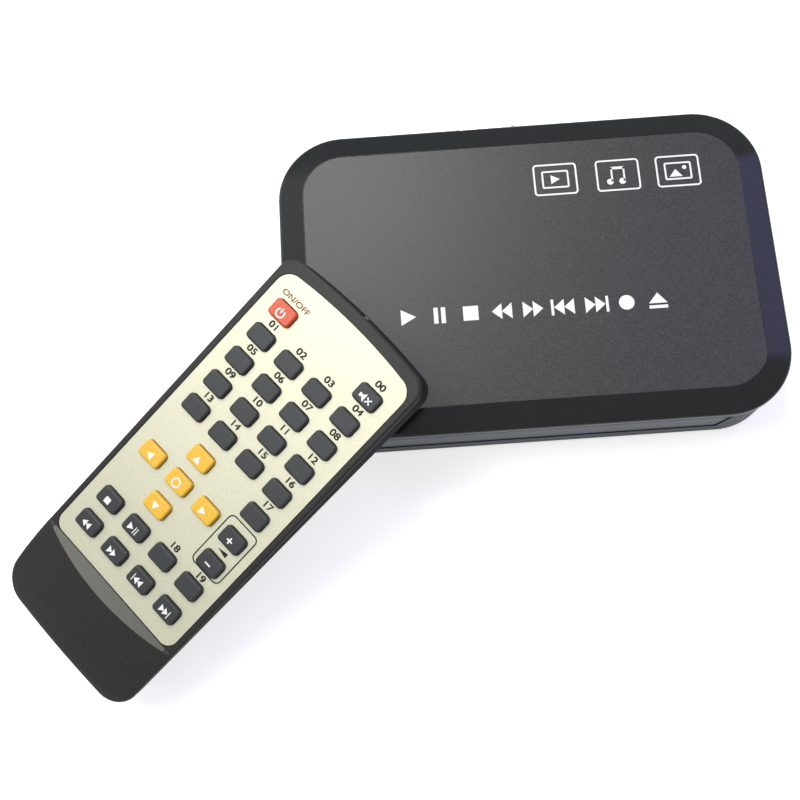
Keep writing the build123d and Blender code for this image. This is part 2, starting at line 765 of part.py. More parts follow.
# Lean of the remote: its underside meets the player's corner and its tail edge meets the table
taper_angle = atan(lower_taper_inset / (parting - underside))
edge_centre_y = lower_tail + lower_edge_radius * tan(radians(45) - taper_angle / 2)
lean_run = lean_y - edge_centre_y
lean_height = rim_height + lean_gap
lean_sine = (lean_height - lower_edge_radius - table_gap) / hypot(lean_run, lower_edge_radius)
remote_tilt = degrees(atan2(lower_edge_radius, lean_run) + asin(lean_sine))
corner_turn = radians(lean_corner_angle)
corner_x = -player_width / 2 + corner_radius + corner_radius * cos(corner_turn)
corner_y = -player_depth / 2 + corner_radius + corner_radius * sin(corner_turn)
remote_place = (
    Pos(corner_x, corner_y, lean_height)
    * Rot(0, 0, remote_turn)
    * Rot(remote_tilt, 0, 0)
    * Pos(-lean_x, -lean_y, -underside)
)

# Everything by name, one file each
player_nodes = {
    "base_shell": [base_shell],
    "bezel_cover": [bezel_cover],
    "top_panel": [top_panel],
    "front_window": [front_window],
    "main_board": [main_board],
    "processor": [processor],
    "heat_sink": [heat_sink],
    "digital_video_socket": [video_place * digital_video()],
    "monitor_socket": [monitor_place * monitor()],
    "av_sockets": [jack_a_place * av_jack(), jack_b_place * av_jack()],
    "power_socket": [power_place * power_inlet()],
    "drive_sockets": [place * drive_socket() for place in drive_places],
    "card_slot": [card_place * card_reader()],
    "ir_receiver": [ir_receiver],
    "status_lights": status_lights,
    "rubber_feet": rubber_feet,
    "case_screws": case_screws,
}
remote_nodes = {
    "remote_upper_shell": [upper_shell],
    "face_plate": [face_plate],
    "keypad_mat": [keypad_mat],
    "remote_board": [remote_board],
    "ir_emitter": [ir_emitter],
    "remote_lower_shell": [lower_shell],
    "battery_door": [battery_door],
    "batteries": batteries,
    "battery_contacts": battery_contacts,
}
for name, place in key_places.items():
    remote_nodes[name] = [place * key_shape]

os.makedirs("parts", exist_ok=True)
for name, solids in player_nodes.items():
    export_step(Compound(children=solids), f"parts/{name}.step")
for name, solids in remote_nodes.items():
    placed = [remote_place * solid for solid in solids]
    export_step(Compound(children=placed), f"parts/{name}.step")

print(f"remote tilt {remote_tilt:.4f} degrees, thickness {-underside:.3f} mm")
print(f"remote origin {remote_place.position}")
print(f"door axis {(remote_place * Pos(0, door_tail, underside)).position}")
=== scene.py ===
from math import cos, radians, sin

import bmesh
import bpy
from mathutils import Matrix, Vector
from mathutils.geometry import intersect_point_line


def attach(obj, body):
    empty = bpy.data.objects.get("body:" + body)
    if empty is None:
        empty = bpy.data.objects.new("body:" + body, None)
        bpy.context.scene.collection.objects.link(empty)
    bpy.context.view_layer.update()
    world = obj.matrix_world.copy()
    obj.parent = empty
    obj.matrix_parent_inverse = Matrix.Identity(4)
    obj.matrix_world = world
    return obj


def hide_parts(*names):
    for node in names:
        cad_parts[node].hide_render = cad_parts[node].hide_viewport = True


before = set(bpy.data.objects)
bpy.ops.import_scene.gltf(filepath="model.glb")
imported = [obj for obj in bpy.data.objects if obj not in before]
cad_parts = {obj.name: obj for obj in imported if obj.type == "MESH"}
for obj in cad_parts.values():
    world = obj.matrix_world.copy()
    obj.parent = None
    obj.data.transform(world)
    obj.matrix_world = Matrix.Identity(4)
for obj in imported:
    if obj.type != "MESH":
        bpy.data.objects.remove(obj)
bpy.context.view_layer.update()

# Bezel cover: the player's polished black cover, moulded in one piece.
# A short skirt stands on the base, and a low crown rises from the rounded rim to the panel's pocket.
mm = 0.001
cover_width = 125 * mm
cover_depth = 82.2 * mm
cover_radius = 17 * mm
corner_steps = 20
cover_foot = 18.4 * mm
rim_height = 20 * mm
rim_round = 0.9 * mm
rim_steps = 5
bezel_width = 6.4 * mm
crown_rise = 1.5 * mm
panel_lip = 0.15 * mm
pocket_depth = 1 * mm
foot_round = 0.15 * mm
lip_round = 0.06 * mm
fine_steps = 2
upright_most = 0.1


def rounded_plate(bm, width, depth, radius, height, steps=corner_steps):
    """One level face with rounded corners, centred on the origin."""
    known = set(bm.faces)
    corners = bmesh.ops.create_grid(bm, x_segments=1, y_segments=1, size=0.5)["verts"]
    bmesh.ops.scale(bm, vec=(width, depth, 1), verts=corners)
    bmesh.ops.translate(bm, vec=(0, 0, height), verts=corners)
    bmesh.ops.bevel(
        bm, geom=corners, offset=radius, offset_type="OFFSET", segments=steps,
        profile=0.5, affect="VERTICES", material=-1,
    )
    return next(face for face in bm.faces if face not in known)


def raised(bm, face, rise, keep=False):
    """Extrudes a face straight up, keeps or drops the first one, and returns the new end."""
    made = bmesh.ops.extrude_face_region(bm, geom=[face], use_keep_orig=keep)["geom"]
    end = [item for item in made if isinstance(item, bmesh.types.BMFace)]
    moved = [item for item in made if isinstance(item, bmesh.types.BMVert)]
    bmesh.ops.translate(bm, vec=(0, 0, rise), verts=moved)
    if not keep:
        bmesh.ops.delete(bm, geom=[face], context="FACES_ONLY")
    return end[0]


def drawn_in(bm, face, width, rise=0):
    """Insets a face by an even width, and lifts it."""
    bmesh.ops.inset_region(
        bm, faces=[face], thickness=width, depth=rise, use_even_offset=True, use_boundary=True,
    )


def level_edges(bm, height):
    """The edges that lie at a height."""
    near = 0.005 * mm
    return [edge for edge in bm.edges if all(abs(vert.co.z - height) < near for vert in edge.verts)]


def rounded_edges(bm, edges, width, steps):
    """Rounds edges over to a width."""
    bmesh.ops.bevel(
        bm, geom=edges, offset=width, offset_type="OFFSET", segments=steps,
        profile=0.5, affect="EDGES", material=-1,
    )


def moulded(name, dark, light, rough, grain, depth, metal=0.0, streak=(1, 1, 1), shine=0.5):
    """Finish of two close shades, mixed by a grain that also sets the roughness and the bump."""
    dark_end, light_start = 0.35, 0.65
    material = bpy.data.materials.new(name)
    material.use_nodes = True
    nodes, links = material.node_tree.nodes, material.node_tree.links
    shader = nodes["Principled BSDF"]
    shader.inputs["Metallic"].default_value = metal
    shader.inputs["Specular IOR Level"].default_value = shine
    place = nodes.new("ShaderNodeTexCoord")
    spread = nodes.new("ShaderNodeMapping")
    spread.inputs["Scale"].default_value = streak
    noise = nodes.new("ShaderNodeTexNoise")
    noise.inputs["Scale"].default_value = grain
    noise.inputs["Detail"].default_value = 4
    shades = nodes.new("ShaderNodeValToRGB")
    shades.color_ramp.elements[0].position = dark_end
    shades.color_ramp.elements[0].color = (*dark, 1)
    shades.color_ramp.elements[1].position = light_start
    shades.color_ramp.elements[1].color = (*light, 1)
    gloss = nodes.new("ShaderNodeMapRange")
    gloss.inputs["To Min"].default_value = rough[0]
    gloss.inputs["To Max"].default_value = rough[1]
    bump = nodes.new("ShaderNodeBump")
    bump.inputs["Strength"].default_value = 0.5
    bump.inputs["Distance"].default_value = depth
    links.new(place.outputs["Object"], spread.inputs["Vector"])
    links.new(spread.outputs["Vector"], noise.inputs["Vector"])
    links.new(noise.outputs[0], shades.inputs["Fac"])
    links.new(noise.outputs[0], gloss.inputs["Value"])
    links.new(noise.outputs[0], bump.inputs["Height"])
    links.new(shades.outputs["Color"], shader.inputs["Base Color"])
    links.new(gloss.outputs["Result"], shader.inputs["Roughness"])
    links.new(bump.outputs["Normal"], shader.inputs["Normal"])
    return material


def piece(name, bm, material, body, node=None, place=None, sharp=40, inlays=()):
    """Makes a mesh a piece of the object: shaded, placed, on its body and with its finish."""
    if place:
        bm.transform(place)
    bm.normal_update()
    for face in bm.faces:
        face.smooth = True
    for edge in bm.edges:
        edge.smooth = edge.calc_face_angle(0) < radians(sharp)
    mesh = bpy.data.meshes.new(name)
    bm.to_mesh(mesh)
    bm.free()
    # A copy of a CAD node brings its old shading along, which would hide the new edges.
    if "custom_normal" in mesh.attributes:
        mesh.attributes.remove(mesh.attributes["custom_normal"])
    for finish in (material, *inlays):
        mesh.materials.append(finish)
    made = bpy.data.objects.new(name, mesh)
    bpy.context.scene.collection.objects.link(made)
    even = made.modifiers.new("even_shading", "WEIGHTED_NORMAL")
    even.keep_sharp = True
    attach(made, body)
    if node:
        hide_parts(node)
    return made


bm = bmesh.new()
foot = rounded_plate(bm, cover_width, cover_depth, cover_radius, cover_foot)
end = raised(bm, foot, rim_height - cover_foot, keep=True)
drawn_in(bm, end, bezel_width, crown_rise)
drawn_in(bm, end, panel_lip)
raised(bm, end, -pocket_depth)
bmesh.ops.recalc_face_normals(bm, faces=bm.faces)
pocket_edges = [
    edge for edge in level_edges(bm, rim_height + crown_rise)
    if any(abs(face.normal.z) < upright_most for face in edge.link_faces)
]
rounded_edges(bm, pocket_edges, lip_round, fine_steps)
rounded_edges(bm, level_edges(bm, rim_height), rim_round, rim_steps)
rounded_edges(bm, level_edges(bm, cover_foot), foot_round, fine_steps)
polished_black = moulded(
    "polished_black", dark=(0.006, 0.0085, 0.0095), light=(0.009, 0.0115, 0.0125),
    rough=(0.1, 0.16), grain=900, depth=0.002 * mm, shine=0.22,
)
piece("bezel", bm, polished_black, "player", "bezel_cover")

# Top panel: a flat matte plate with a fine grain, glued into the cover's pocket.
# A hair of a groove runs all round it.
panel_width = 111.86 * mm
panel_depth = 69.06 * mm
panel_radius = 10.43 * mm
panel_top = rim_height + crown_rise
panel_round = 0.08 * mm
bm = bmesh.new()
underside = rounded_plate(bm, panel_width, panel_depth, panel_radius, panel_top - pocket_depth)
raised(bm, underside, pocket_depth, keep=True)
bmesh.ops.recalc_face_normals(bm, faces=bm.faces)
rounded_edges(bm, level_edges(bm, panel_top), panel_round, fine_steps)
grained_grey = moulded(
    "grained_grey", dark=(0.01, 0.0115, 0.0105), light=(0.032, 0.0345, 0.0315),
    rough=(0.34, 0.44), grain=2400, depth=0.05 * mm, shine=0.36,
)
piece("panel", bm, grained_grey, "player", "top_panel")

# Prints on the panel: white ink, a row of plain play symbols and three small signs in outline.
# The ink is a thin raised film on the grain. Each symbol is drawn in parts of the row's height.
ink_film = 0.02 * mm
title_y = -11 * mm
title_height = 4.2 * mm
title_half = 31 * mm
title_short = 0.9 * title_height
pause_place = 0.22 * title_height
pause_bar = 0.26 * title_height
skip_half = 0.3 * title_height
skip_stop = 0.7 * title_height
skip_bar = 0.16 * title_height
record_radius = 0.46 * title_height
eject_width = 1.1 * title_height
eject_length = 0.66 * title_height
eject_rise = 0.16 * title_height
eject_drop = 0.4 * title_height
eject_bar = 0.2 * title_height
sign_y = 23.9 * mm
sign_width = 11.2 * mm
sign_depth = 8.8 * mm
sign_radius = 1 * mm
sign_line = 0.45 * mm
sign_places = (9.0 * mm, 25.05 * mm, 40.45 * mm)
inner_width = 0.62 * sign_width
inner_depth = 0.56 * sign_depth
inner_radius = 0.5 * sign_radius
screen_length = 0.26 * sign_depth
screen_height = 0.28 * sign_depth
note_half = 0.14 * sign_width
note_low = sign_y - 0.2 * sign_depth
note_high = sign_y + 0.26 * sign_depth
note_radius = 0.075 * sign_width
note_shift = 0.05 * sign_width
beam_drop = 0.6 * sign_line
beam_height = 1.6 * sign_line
hill_length = 0.24 * sign_depth
hill_width = 0.3 * sign_width
hill_shift = (-0.06 * sign_width, -0.06 * sign_depth)
sun_shift = (0.15 * sign_width, 0.1 * sign_depth)
sun_radius = 0.05 * sign_width


def bar(bm, x, y, width, height):
    """A filled oblong."""
    corners = bmesh.ops.create_grid(bm, x_segments=1, y_segments=1, size=0.5)["verts"]
    bmesh.ops.scale(bm, vec=(width, height, 1), verts=corners)
    bmesh.ops.translate(bm, vec=(x, y, 0), verts=corners)


def arrow(bm, x, y, length, height, turn=0):
    """A filled triangle that points to the right, or turned anticlockwise by an angle."""
    corners = bmesh.ops.create_circle(bm, cap_ends=True, segments=3, radius=1)["verts"]
    tip = max(corners, key=lambda vert: vert.co.y)
    tip.co = (length / 2, 0, 0)
    others = sorted((vert for vert in corners if vert is not tip), key=lambda vert: vert.co.x)
    others[0].co = (-length / 2, height / 2, 0)
    others[1].co = (-length / 2, -height / 2, 0)
    bmesh.ops.rotate(bm, cent=(0, 0, 0), matrix=Matrix.Rotation(radians(turn), 3, "Z"), verts=corners)
    bmesh.ops.translate(bm, vec=(x, y, 0), verts=corners)


def double_arrow(bm, x, y, half, height, side):
    """Two triangles in a row that point to the right, or to the left where side is -1."""
    turn = 0 if side > 0 else 180
    arrow(bm, x - half, y, 2 * half, height, turn)
    arrow(bm, x + half, y, 2 * half, height, turn)


def disc(bm, x, y, radius):
    """A filled circle."""
    made = bmesh.ops.create_circle(bm, cap_ends=True, segments=32, radius=radius)["verts"]
    bmesh.ops.translate(bm, vec=(x, y, 0), verts=made)


def outline(bm, x, y, width, depth, radius, line):
    """A rounded oblong drawn as a line."""
    before = set(bm.verts)
    face = rounded_plate(bm, width, depth, radius, 0, steps=6)
    drawn_in(bm, face, line)
    bmesh.ops.delete(bm, geom=[face], context="FACES")
    bmesh.ops.translate(bm, vec=(x, y, 0), verts=[vert for vert in bm.verts if vert not in before])


def inked(bm, film, height):
    """Gives flat prints the thickness of a film of ink and sets them at a height."""
    bmesh.ops.recalc_face_normals(bm, faces=bm.faces)
    for face in bm.faces:
        if face.normal.z < 0:
            face.normal_flip()
    made = bmesh.ops.extrude_face_region(bm, geom=bm.faces[:], use_keep_orig=True)["geom"]
    tops = [item for item in made if isinstance(item, bmesh.types.BMVert)]
    bmesh.ops.translate(bm, vec=(0, 0, film), verts=tops)
    bmesh.ops.translate(bm, vec=(0, 0, height), verts=bm.verts)
    bmesh.ops.recalc_face_normals(bm, faces=bm.faces)


bm = bmesh.new()
symbols = ("play", "pause", "stop", "rewind", "forward", "previous", "next", "record", "eject")
for count, symbol in enumerate(symbols):
    x = -title_half + 2 * title_half * count / (len(symbols) - 1)
    side = -1 if symbol in ("rewind", "previous") else 1
    if symbol == "play":
        arrow(bm, x, title_y, title_short, title_height)
    elif symbol == "pause":
        bar(bm, x - pause_place, title_y, pause_bar, title_height)
        bar(bm, x + pause_place, title_y, pause_bar, title_height)
    elif symbol == "stop":
        bar(bm, x, title_y, title_short, title_short)
    elif symbol == "record":
        disc(bm, x, title_y, record_radius)
    elif symbol == "eject":
        arrow(bm, x, title_y + eject_rise, eject_length, eject_width, 90)
        bar(bm, x, title_y - eject_drop, eject_width, eject_bar)
    else:
        double_arrow(bm, x, title_y, skip_half, title_height, side)
        if symbol in ("previous", "next"):
            bar(bm, x + side * skip_stop, title_y, skip_bar, title_height)
for x in sign_places:
    outline(bm, x, sign_y, sign_width, sign_depth, sign_radius, sign_line)
screen_x, note_x, picture_x = sign_places
outline(bm, screen_x, sign_y, inner_width, inner_depth, inner_radius, sign_line)
arrow(bm, screen_x, sign_y, screen_length, screen_height)
for side in (-1, 1):
    stem_x = note_x + side * note_half
    disc(bm, stem_x - note_shift, note_low, note_radius)
    bar(bm, stem_x, (note_low + note_high) / 2, sign_line, note_high - note_low)
bar(bm, note_x, note_high - beam_drop, 2 * note_half + sign_line, beam_height)
outline(bm, picture_x, sign_y, inner_width, inner_depth, inner_radius, sign_line)
arrow(bm, picture_x + hill_shift[0], sign_y + hill_shift[1], hill_length, hill_width, 90)
disc(bm, picture_x + sun_shift[0], sign_y + sun_shift[1], sun_radius)
inked(bm, ink_film, panel_top)
white_ink = moulded(
    "white_ink", dark=(0.8, 0.8, 0.79), light=(0.86, 0.86, 0.85),
    rough=(0.4, 0.5), grain=3000, depth=0.004 * mm,
)
piece("panel_prints", bm, white_ink, "player")

# Base shell: the lower half of the casing, a drafted tub in dark satin plastic.
# Its walls carry the window and the sockets, and the screw posts stand on its floor.
cad_crease = 30
same_point = 0.0005 * mm
flat_angle = radians(0.05)


def twin(node):
    """A merged copy of a CAD node, with its flat faces whole again."""
    bm = bmesh.new()
    bm.from_mesh(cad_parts[node].data)
    bmesh.ops.remove_doubles(bm, verts=bm.verts, dist=same_point)
    bmesh.ops.dissolve_limit(
        bm, angle_limit=flat_angle, use_dissolve_boundaries=False,
        verts=bm.verts, edges=bm.edges, delimit=set(),
    )
    return bm


def twin_piece(name, node, finish, body):
    """A piece that keeps its CAD node's shape and gets clean shading and a finish."""
    piece(name, twin(node), finish, body, node, sharp=cad_crease)


dark_satin = moulded(
    "dark_satin", dark=(0.016, 0.0195, 0.026), light=(0.025, 0.03, 0.039),
    rough=(0.5, 0.6), grain=2600, depth=0.008 * mm, shine=0.3,
)
twin_piece("base", "base_shell", dark_satin, "player")

# Front window: a smoked strip with slanted ends, set back in the front wall.
# The remote's signal and the status lights pass through it.
window_step = 0.35 * mm
window_shrink = 0.991
smoked = moulded(
    "smoked", dark=(0.03, 0.048, 0.07), light=(0.041, 0.062, 0.088),
    rough=(0.4, 0.5), grain=2600, depth=0.006 * mm, shine=0.4,
)
bm = twin("front_window")
bm.transform(Matrix.Translation((0, -window_step, 0)) @ Matrix.Diagonal((window_shrink, 1, 1, 1)))
piece("window", bm, smoked, "player", "front_window", sharp=cad_crease)

# Sockets in the back and side walls: plated steel boxes with black tongues, and black round ones.
# All stand on the main board and reach out to the wall.
# The monitor socket has a steel nose round a blue insert with rows of contact holes.
monitor_x = -7 * mm
nose_half = 8.4 * mm
nose_sheet = 0.4 * mm
nose_middle = 11.8 * mm
contact_half = 6.3 * mm
contact_rise = 3.3 * mm
contact_depth = 3.2 * mm
level_gap = 0.01 * mm
outward_least = 0.99
tongue_half = 5.6 * mm
tongue_middles = {"digital_video_socket": (0, -33.5 * mm), "drive_sockets": (1, -8.55 * mm, 8.55 * mm)}
plated_steel = moulded(
    "plated_steel", dark=(0.5, 0.5, 0.52), light=(0.62, 0.62, 0.63),
    rough=(0.22, 0.34), grain=1500, depth=0.004 * mm, metal=1.0,
)
moulded_black = moulded(
    "moulded_black", dark=(0.014,) * 3, light=(0.022,) * 3,
    rough=(0.4, 0.52), grain=2600, depth=0.01 * mm,
)
insert_blue = moulded(
    "insert_blue", dark=(0.01, 0.018, 0.06), light=(0.014, 0.024, 0.08),
    rough=(0.4, 0.5), grain=2600, depth=0.008 * mm,
)
bm = twin("monitor_socket")
nose_face = max(vert.co.y for vert in bm.verts)


def on_nose(vert):
    """Whether a point lies on the front of the monitor socket's nose."""
    return abs(vert.co.x - monitor_x) < nose_half and vert.co.y > nose_face - level_gap


def at_contacts(vert):
    """Whether a point lies in or on one of the monitor socket's contact holes."""
    beside = abs(vert.co.x - monitor_x) < contact_half and abs(vert.co.z - nose_middle) < contact_rise
    return beside and vert.co.y > nose_face - contact_depth


nose_end = [
    face for face in bm.faces if face.normal.y > outward_least and all(on_nose(vert) for vert in face.verts)
]
bmesh.ops.inset_region(bm, faces=nose_end, thickness=nose_sheet, use_even_offset=True, use_boundary=True)
for face in bm.faces:
    if face in nose_end or all(at_contacts(vert) for vert in face.verts):
        face.material_index = 1
piece(
    "monitor_socket_body", bm, plated_steel, "player", "monitor_socket",
    sharp=cad_crease, inlays=[insert_blue],
)
for node, (axis, *middles) in tongue_middles.items():
    bm = twin(node)
    for face in bm.faces:
        if any(all(abs(vert.co[axis] - middle) < tongue_half for vert in face.verts) for middle in middles):
            face.material_index = 1
    piece(
        node + "_body", bm, plated_steel, "player", node,
        sharp=cad_crease, inlays=[moulded_black],
    )
twin_piece("card_slot_body", "card_slot", plated_steel, "player")
twin_piece("av_sockets_body", "av_sockets", moulded_black, "player")
twin_piece("power_socket_body", "power_socket", moulded_black, "player")

# Feet and screws: four soft rubber discs stuck to the floor, and four plated screws in their pockets.
# The screws hold the base, the board and the cover together.
soft_rubber = moulded(
    "soft_rubber", dark=(0.012,) * 3, light=(0.022,) * 3,
    rough=(0.7, 0.85), grain=1800, depth=0.03 * mm,
)
twin_piece("feet", "rubber_feet", soft_rubber, "player")
twin_piece("screws", "case_screws", plated_steel, "player")

# What is inside the player: a green circuit board, its chip, a heat sink, the receiver and two lights.
# They are hidden behind the walls, so the solids stay as they are and only get a finish.


def dressed(node, finish):
    """Gives a CAD node that stays in the scene its finish."""
    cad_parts[node].data.materials.clear()
    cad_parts[node].data.materials.append(finish)


board_green = moulded(
    "board_green", dark=(0.012, 0.11, 0.045), light=(0.02, 0.16, 0.07),
    rough=(0.35, 0.5), grain=700, depth=0.01 * mm,
)
chip_black = moulded(
    "chip_black", dark=(0.01,) * 3, light=(0.02,) * 3,
    rough=(0.45, 0.6), grain=3000, depth=0.008 * mm,
)
sink_metal = moulded(
    "sink_metal", dark=(0.52, 0.53, 0.55), light=(0.64, 0.65, 0.67),
    rough=(0.3, 0.42), grain=900, depth=0.01 * mm, metal=1.0, streak=(1, 12, 1),
)
lamp_clear = moulded(
    "lamp_clear", dark=(0.45, 0.5, 0.62), light=(0.55, 0.6, 0.7),
    rough=(0.05, 0.1), grain=600, depth=0.002 * mm,
)
dressed("main_board", board_green)
dressed("processor", chip_black)
dressed("heat_sink", sink_metal)
dressed("ir_receiver", chip_black)
dressed("status_lights", lamp_clear)

# Remote's upper shell: matte black plastic with a spark-eroded grain.
# A thin rim frames the plate, and the tail swells into a crowned hump behind a crescent facet.
# The facet is smoother than the rest, and its lighter grey colour is a painted highlight for the light it
# catches; the walls are duller.
remote_place = (
    Matrix.Translation((-75.55632 * mm, -48.08903 * mm, 35.21424 * mm))
    @ Matrix.Rotation(radians(-49.96), 4, "Z")
    @ Matrix.Rotation(radians(16.7097), 4, "X")
)
plate_half = 20.95 * mm
plate_head = 43.21 * mm
plate_arch = 1.5 * mm
tail_start = -40.61 * mm
rim_half = 0.8 * mm
rim_level = -1.2 * mm
rim_foot = -5 * mm
hair = 0.01 * mm
facing_least = 0.9
crest_least = radians(12)
crest_clear = 1.3 * mm
brim_round = 0.7 * mm
brim_steps = 3
brim_clear = 1.1 * mm
brim_least = radians(50)
hump_crease = 12
facet_half = 20.1 * mm
facet_facing = 0.8
facet_lean = 0.209
wall_lean = 0.15
spark_black = moulded(
    "spark_black", dark=(0.014, 0.013, 0.0125), light=(0.027, 0.0255, 0.0245),
    rough=(0.36, 0.44), grain=3200, depth=0.014 * mm, shine=0.2,
)
# The facet's lighter grey is a painted highlight, standing in for the light that the crescent catches.
facet_painted_highlight = moulded(
    "facet_painted_highlight", dark=(0.05, 0.05, 0.038), light=(0.066, 0.066, 0.05),
    rough=(0.28, 0.35), grain=3200, depth=0.006 * mm, shine=0.4,
)
wall_black = moulded(
    "wall_black", dark=(0.013, 0.013, 0.016), light=(0.021, 0.021, 0.026),
    rough=(0.7, 0.8), grain=3200, depth=0.014 * mm, shine=0.04,
)


def edge_middle(edge):
    """The point halfway along an edge."""
    return (edge.verts[0].co + edge.verts[1].co) / 2


def beyond_rim(point):
    """Whether a point lies outside the thin rim that frames the plate."""
    arch = plate_head - plate_arch * (point.x / plate_half) ** 2
    return abs(point.x) > plate_half + rim_half or not tail_start - rim_half <= point.y <= arch + rim_half


def close_to(vert, edges, reach):
    """Whether a point lies nearer to the line of one of these edges than a reach."""
    for edge in edges:
        foot = intersect_point_line(vert.co, edge.verts[0].co, edge.verts[1].co)[0]
        if (foot - vert.co).length < reach:
            return True
    return False


def on_facet(face):
    """Whether a face belongs to the crescent that leans from the hump down to the plate."""
    leans = face.normal.z > facet_facing and face.normal.y > facet_lean
    return leans and face.calc_center_median().y < tail_start


bm = twin("remote_upper_shell")
bm.transform(remote_place.inverted())
bm.normal_update()

# Loose points inside the long walls go, so that each wall is one whole face up to the brim.
wall_points = [
    vert for vert in bm.verts
    if abs(vert.co.x) > plate_half and all(abs(face.normal.x) > facing_least for face in vert.link_faces)
]
bmesh.ops.dissolve_verts(bm, verts=wall_points)
bm.normal_update()

# The crest is the fold along the hump, and the brim is the shell's outer top edge.
# Points that crowd either of them go first, so that the rounding of the brim has room.
crest = [
    edge for edge in bm.edges if crest_least < edge.calc_face_angle(0) < brim_least
    and all(rim_level - hair < vert.co.z and vert.co.y < tail_start - hair for vert in edge.verts)
]
brim = [
    edge for edge in bm.edges if beyond_rim(edge_middle(edge))
    and edge_middle(edge).z > rim_foot and edge.calc_face_angle(0) > brim_least
]
tail_brim = [edge for edge in brim if any(vert.co.y < tail_start for vert in edge.verts)]
ridge_points = {vert for edge in (*crest, *brim) for vert in edge.verts}
crowded = []
for vert in bm.verts:
    on_hump = vert.co.z > rim_foot and vert.co.y < tail_start - hair
    level = all(face.normal.z > facing_least for face in vert.link_faces)
    if on_hump and level and vert not in ridge_points:
        if close_to(vert, crest, crest_clear) or close_to(vert, tail_brim, brim_clear):
            crowded.append(vert)
bmesh.ops.dissolve_verts(bm, verts=crowded)
rounded_edges(bm, brim, brim_round, brim_steps)
bm.normal_update()
strips = [
    face for face in bm.faces if len(face.verts) > 4 and face.normal.z > facing_least
    and face.calc_center_median().y < tail_start and not face.normal.y > facet_lean
]
bmesh.ops.triangulate(bm, faces=strips)
bm.normal_update()

# The crescent is cut short of the walls at both ends, and then takes its own finish, whose lighter grey is
# a painted highlight.
for side in (-1, 1):
    crescent = [face for face in bm.faces if on_facet(face)]
    around = {item for face in crescent for item in (*face.edges, *face.verts)}
    bmesh.ops.bisect_plane(
        bm, geom=[*crescent, *around], dist=hair, plane_co=(side * facet_half, 0, 0), plane_no=(1, 0, 0),
    )
# The crescent between the cuts takes the lighter grey of the painted highlight, and the walls take the
# duller black.
for face in bm.faces:
    middle = face.calc_center_median()
    if on_facet(face) and abs(middle.x) < facet_half:
        face.material_index = 1
    elif face.normal.z < (wall_lean if middle.y > tail_start else 0):
        face.material_index = 2
piece(
    "remote_upper", bm, spark_black, "remote", "remote_upper_shell", remote_place,
    sharp=hump_crease, inlays=[facet_painted_highlight, wall_black],
)

# Remote's lower shell and battery door: the same black plastic, tapered to a smaller underside.
# The door lies flush in the floor and turns on its tail edge.
twin_piece("remote_lower", "remote_lower_shell", wall_black, "remote")
twin_piece("door", "battery_door", wall_black, "battery_door")

# Face plate: a thin plate painted satin silver, punched for the keys.
# It is glued on the deck, inside the rim, and its outer edge is slightly rounded.
plate_round = 0.18 * mm
margin_half = plate_half - rim_half
margin_head = plate_head - plate_arch - 2 * rim_half
margin_tail = tail_start + 2 * rim_half
silver_paint = moulded(
    "silver_paint", dark=(0.435, 0.428, 0.327), light=(0.485, 0.477, 0.367),
    rough=(0.4, 0.48), grain=2400, depth=0.006 * mm, metal=0.6,
)
bm = twin("face_plate")
bm.transform(remote_place.inverted())
margin = []
for edge in level_edges(bm, rim_level):
    middle = edge_middle(edge)
    outer = abs(middle.x) > margin_half or not margin_tail <= middle.y <= margin_head
    if outer and edge.calc_face_angle(0) > brim_least:
        margin.append(edge)
rounded_edges(bm, margin, plate_round, fine_steps)
piece("plate", bm, silver_paint, "remote", "face_plate", remote_place, sharp=cad_crease)

# Prints on the plate: black numbers over the keys, a frame round the volume keys and a wedge between them.
# The power key has its own words in red.
column_pitch = 9.42 * mm
row_pitch = 7.525 * mm
middle_column = 2.5
middle_row = 4.5
label_height = 2.25 * mm
label_rise = 3.8 * mm
label_shift = 0.4 * mm
label_stroke = 0.09 * mm
crowded_rise = 3.4 * mm
power_height = 1.9 * mm
power_stroke = 0.05 * mm
plate_film = 0.015 * mm
frame_width = 9.3 * mm
frame_depth = 14.7 * mm
frame_shift = 0.8 * mm
frame_radius = 1.5 * mm
frame_line = 0.32 * mm
wedge_length = 3.0 * mm
wedge_height = 1.2 * mm
volume_row = 6.5


def key_middle(column, row):
    """Where a key stands on the plate, by its column from the left and its row from the head."""
    return (column - middle_column) * column_pitch, (middle_row - row) * row_pitch


def words(bm, text, x, y, size, stroke):
    """Sets a short text as flat faces, centred on a point, with its strokes widened to each side."""
    stretch = 1.25
    least_edge = 0.02 * mm
    curve = bpy.data.curves.new("label", "FONT")
    curve.body = text
    curve.size = size
    curve.align_x = "CENTER"
    curve.align_y = "CENTER"
    holder = bpy.data.objects.new("label", curve)
    mesh = bpy.data.meshes.new_from_object(holder)
    mesh.transform(Matrix.Translation((x, y, 0)) @ Matrix.Diagonal((stretch, 1, 1, 1)))
    flat = bmesh.new()
    flat.from_mesh(mesh)
    bmesh.ops.remove_doubles(flat, verts=flat.verts, dist=same_point)
    flat.normal_update()
    pushes = {}
    for edge in flat.edges:
        if edge.is_boundary:
            loop = edge.link_loops[0]
            along = loop.link_loop_next.vert.co - loop.vert.co
            away = along.cross(loop.face.normal).normalized()
            for vert in edge.verts:
                pushes[vert] = pushes.get(vert, Vector()) + away
    for vert, push in pushes.items():
        vert.co += stroke * push.normalized()
    bmesh.ops.dissolve_degenerate(flat, dist=least_edge, edges=flat.edges)
    flat.to_mesh(mesh)
    flat.free()
    bm.from_mesh(mesh)
    bpy.data.objects.remove(holder)
    bpy.data.curves.remove(curve)
    bpy.data.meshes.remove(mesh)


